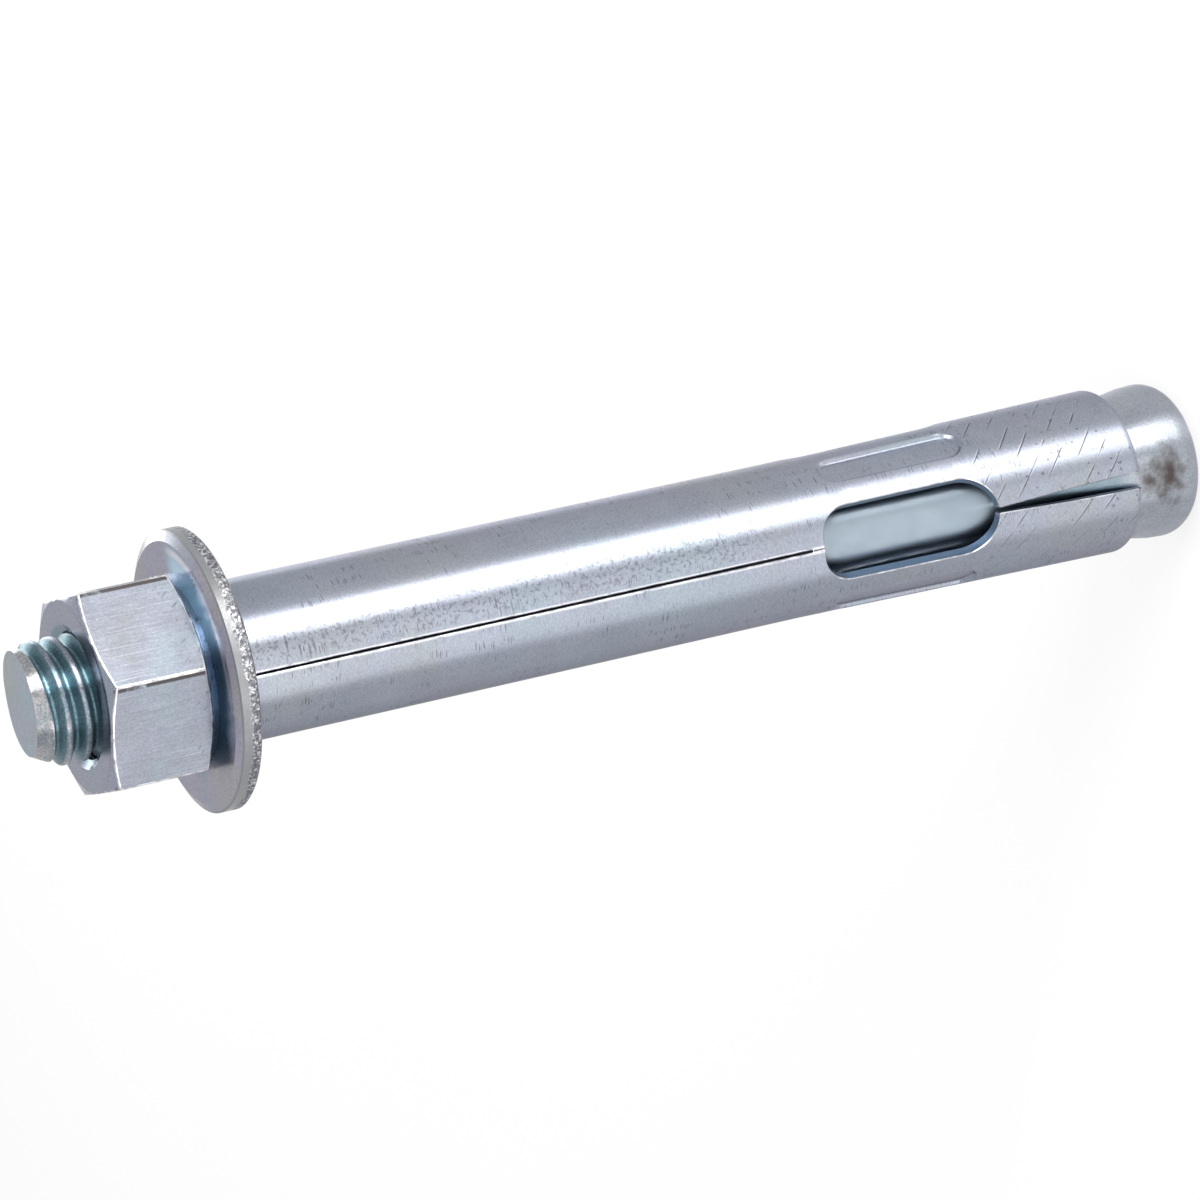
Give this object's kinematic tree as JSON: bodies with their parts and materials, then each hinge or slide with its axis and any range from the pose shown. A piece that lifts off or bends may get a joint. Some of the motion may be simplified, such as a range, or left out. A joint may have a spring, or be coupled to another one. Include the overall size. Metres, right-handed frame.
{
  "type": "sleeve anchor",
  "caption": "Hex-nut sleeve anchor for masonry: threaded stud with a cone end in a rolled sleeve with windows, slits and dimples, a flat washer and a hex nut.",
  "frame": {"origin": "centre of the stud's flat cone end, which is the anchor's lowest point", "axes": "+Z along the stud from the cone end to the threaded end; the sleeve's seam and one window face -Y"},
  "size_m": [0.0278, 0.0278, 0.1272],
  "materials": {
    "zinc_stud": "bright zinc plate",
    "zinc_sleeve": "bright zinc plate, fine scratches",
    "zinc_washer": "bright zinc plate, faint iridescence",
    "zinc_nut": "bright zinc plate, small nicks"
  },
  "bodies": {
    "stud": {"stud": "zinc_stud"},
    "sleeve": {"sleeve": "zinc_sleeve"},
    "washer": {"washer": "zinc_washer"},
    "nut": {"nut": "zinc_nut"}
  },
  "joints": [
    {"name": "sleeve_spin", "type": "hinge", "parent": "stud", "child": "sleeve", "pos_m": [0, 0, 0.05], "axis": [0, 0, 1], "continuous": true},
    {"name": "washer_slide", "type": "slide", "parent": "stud", "child": "washer", "axis": [0, 0, 1], "range_m": [0, 0.01465]},
    {"name": "nut_turn", "type": "hinge", "parent": "washer", "child": "nut", "pos_m": [0, 0, 0.116], "axis": [0, 0, 1], "range_deg": [0, 2700]}
  ],
  "couplings": [
    {"joint": "washer_slide", "follows": "nut_turn", "m_per_rad": 0.00031099}
  ]
}
